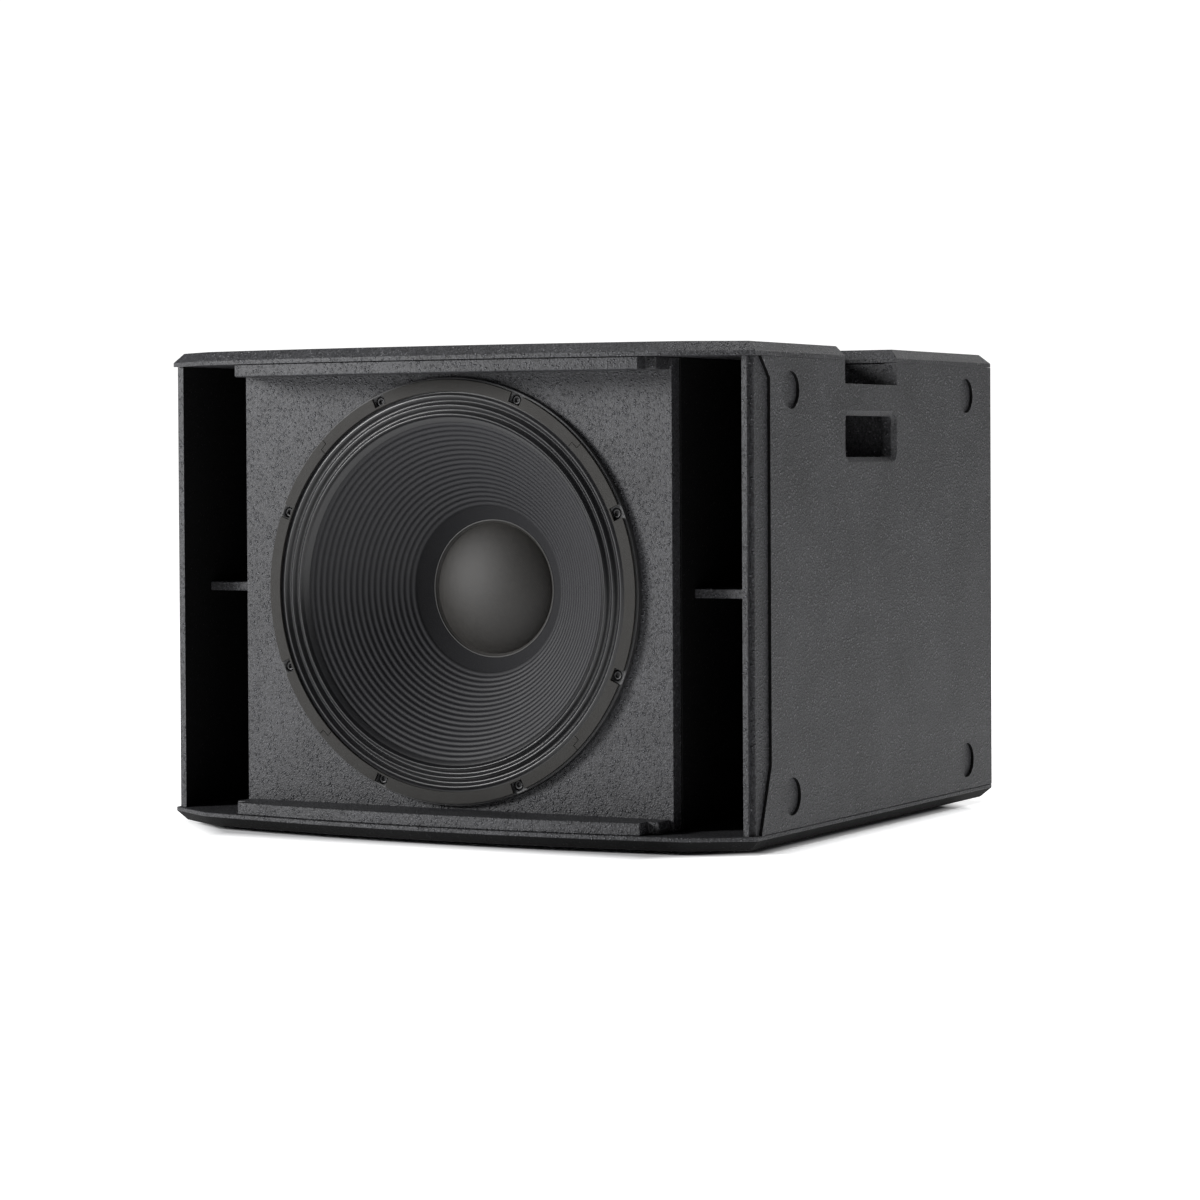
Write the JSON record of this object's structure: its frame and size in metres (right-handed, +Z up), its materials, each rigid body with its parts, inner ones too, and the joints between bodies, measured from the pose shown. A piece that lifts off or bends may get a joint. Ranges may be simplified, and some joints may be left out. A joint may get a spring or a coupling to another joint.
{
  "type": "speaker cabinet",
  "caption": "Low, wide stage subwoofer with one large cone driver in a flat baffle, a port slot down each side, bowed top and bottom panels and recessed side handles.",
  "frame": {"origin": "on the floor under the middle of the cabinet's overall box", "axes": "+Z up, the driver faces -Y, +X to the right as seen from the front"},
  "size_m": [0.727, 0.705, 0.53],
  "materials": {
    "cabinet_paint": "matte textured paint",
    "inside_paint": "matte paint",
    "gasket_board": "matte",
    "cast_aluminium": "satin black coating",
    "treated_cloth": "satin",
    "cone_pulp": "matte",
    "cap_cloth": "matte",
    "spider_cloth": "matte",
    "former_film": "satin",
    "copper_wire": "satin",
    "plated_steel": "satin",
    "black_steel": "satin black",
    "ferrite": "matte",
    "socket_plastic": "matte",
    "rubber": "matte",
    "red_insulation": "satin",
    "black_insulation": "satin"
  },
  "bodies": {
    "cabinet": {"top_panel": "cabinet_paint", "bottom_panel": "cabinet_paint", "left_side_panel": "cabinet_paint", "right_side_panel": "cabinet_paint", "rear_panel": "cabinet_paint", "baffle": "cabinet_paint", "left_port_brace": "cabinet_paint", "right_port_brace": "cabinet_paint", "bottom_grille_batten": "cabinet_paint", "top_grille_batten": "cabinet_paint", "left_port_wall": "inside_paint", "right_port_wall": "inside_paint", "window_brace": "inside_paint", "left_handle_pocket": "inside_paint", "right_handle_pocket": "inside_paint", "gasket_strip_1": "gasket_board", "gasket_strip_2": "gasket_board", "gasket_strip_3": "gasket_board", "gasket_strip_4": "gasket_board", "driver_basket": "cast_aluminium", "surround": "treated_cloth", "spider": "spider_cloth", "left_terminal_post": "copper_wire", "right_terminal_post": "copper_wire", "left_tinsel_lead": "copper_wire", "right_tinsel_lead": "copper_wire", "magnet_top_plate": "plated_steel", "pole_and_back_plate": "plated_steel", "pole_screw_1": "plated_steel", "pole_screw_2": "plated_steel", "pole_screw_3": "plated_steel", "pole_screw_4": "plated_steel", "foot_screw_left_front": "plated_steel", "foot_screw_left_rear": "plated_steel", "foot_screw_right_front": "plated_steel", "foot_screw_right_rear": "plated_steel", "connector_plate": "black_steel", "pole_socket": "black_steel", "driver_bolt_1": "black_steel", "driver_bolt_2": "black_steel", "driver_bolt_3": "black_steel", "driver_bolt_4": "black_steel", "driver_bolt_5": "black_steel", "driver_bolt_6": "black_steel", "driver_bolt_7": "black_steel", "driver_bolt_8": "black_steel", "magnet_ring": "ferrite", "left_speaker_socket": "socket_plastic", "right_speaker_socket": "socket_plastic", "terminal_strip": "socket_plastic", "foot_left_front": "rubber", "foot_left_rear": "rubber", "foot_right_front": "rubber", "foot_right_rear": "rubber", "red_speaker_wire": "red_insulation", "black_speaker_wire": "black_insulation"},
    "cone_assembly": {"cone": "cone_pulp", "dust_cap": "cap_cloth", "voice_coil_former": "former_film", "voice_coil_winding": "copper_wire"}
  },
  "joints": [
    {"name": "cone_travel", "type": "slide", "parent": "cabinet", "child": "cone_assembly", "axis": [0, -1, 0], "range_m": [-0.009, 0.009], "stiffness_N_per_m": 6000, "deforming": ["surround", "spider", "left_tinsel_lead", "right_tinsel_lead"]}
  ]
}
